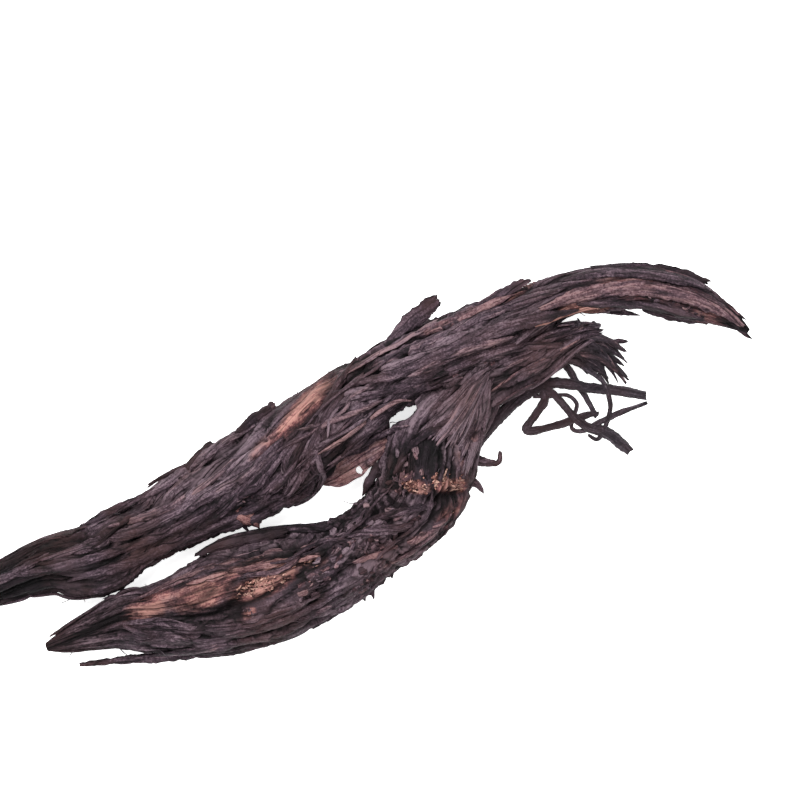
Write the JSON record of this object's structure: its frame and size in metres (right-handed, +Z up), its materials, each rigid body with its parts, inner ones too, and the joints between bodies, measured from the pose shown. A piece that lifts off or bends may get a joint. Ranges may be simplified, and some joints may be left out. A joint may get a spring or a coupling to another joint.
{
  "type": "dried arnebia root",
  "caption": "Dried forked taproot with a curved crown, a side root doubled back beside it, peeling bark flakes and wiry rootlets.",
  "frame": {"origin": "under the middle of the footprint, on the surface the root lies on", "axes": "+X from the tail to the curved crown along the longest extent, +Z up from the table, +Y to the side away from the side root"},
  "size_m": [0.1631, 0.0507, 0.0146],
  "materials": {
    "dried_bark": "matte, fibrous, dark purple-brown bark in thin peeling layers with a faint sheen on the worn ridges",
    "exposed_wood": "matte pale orange-brown wood where the bark is torn away",
    "rootlet_skin": "dry, slightly glossy, near-black purple skin of the wiry rootlets"
  },
  "bodies": {
    "root": {"arnebia_root": "dried_bark"}
  },
  "joints": []
}
